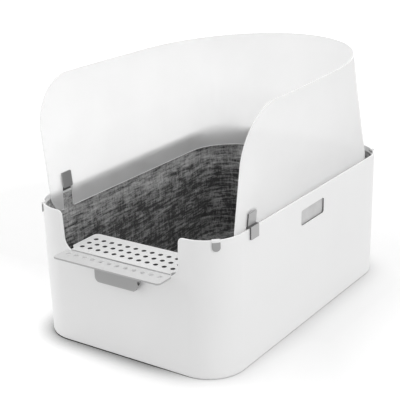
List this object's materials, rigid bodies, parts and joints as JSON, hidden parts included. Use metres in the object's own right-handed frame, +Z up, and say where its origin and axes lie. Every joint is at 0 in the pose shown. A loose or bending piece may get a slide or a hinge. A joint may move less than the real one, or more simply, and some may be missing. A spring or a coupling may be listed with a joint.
{
  "type": "open litter box",
  "caption": "Open litter box with a low front entry, hanging liner, flared translucent splash shield on clips, and a perforated folding step.",
  "frame": {"origin": "on the floor, under the middle of the box's rim outline", "axes": "+X to the right seen from the entry, -Y to the front with the entry and step, +Z up"},
  "size_m": [0.4206, 0.6575, 0.437],
  "materials": {
    "box_plastic": "satin white moulding",
    "liner_cloth": "mottled grey felt-look coated cloth",
    "liner_tape": "pale edge tape",
    "shield_plastic": "frosted translucent white sheet",
    "grey_plastic": "satin mid grey moulding",
    "step_plastic": "satin light grey moulding"
  },
  "bodies": {
    "box": {"outer_box": "box_plastic"},
    "liner": {"liner": "liner_cloth", "liner_binding": "liner_tape", "liner_hook_front_left": "grey_plastic", "liner_hook_front_right": "grey_plastic", "liner_hook_rear_left": "grey_plastic", "liner_hook_rear_right": "grey_plastic"},
    "shield": {"splash_shield": "shield_plastic", "shield_clip_left": "grey_plastic", "shield_clip_right": "grey_plastic"},
    "step": {"step_panel": "step_plastic", "step_bracket": "grey_plastic"},
    "flap": {"step_flap": "step_plastic"}
  },
  "joints": [
    {"name": "liner_lift", "type": "slide", "parent": "box", "child": "liner", "axis": [0, 0, 1], "range_m": [0, 0.25]},
    {"name": "shield_lift", "type": "slide", "parent": "liner", "child": "shield", "axis": [0, 0, 1], "range_m": [0, 0.06]},
    {"name": "step_lift", "type": "slide", "parent": "liner", "child": "step", "axis": [0, 0, 1], "range_m": [0, 0.05]},
    {"name": "flap_fold", "type": "hinge", "parent": "step", "child": "flap", "pos_m": [0, -0.2936, 0.1748], "axis": [-1, 0, 0], "range_deg": [0, 90]}
  ]
}
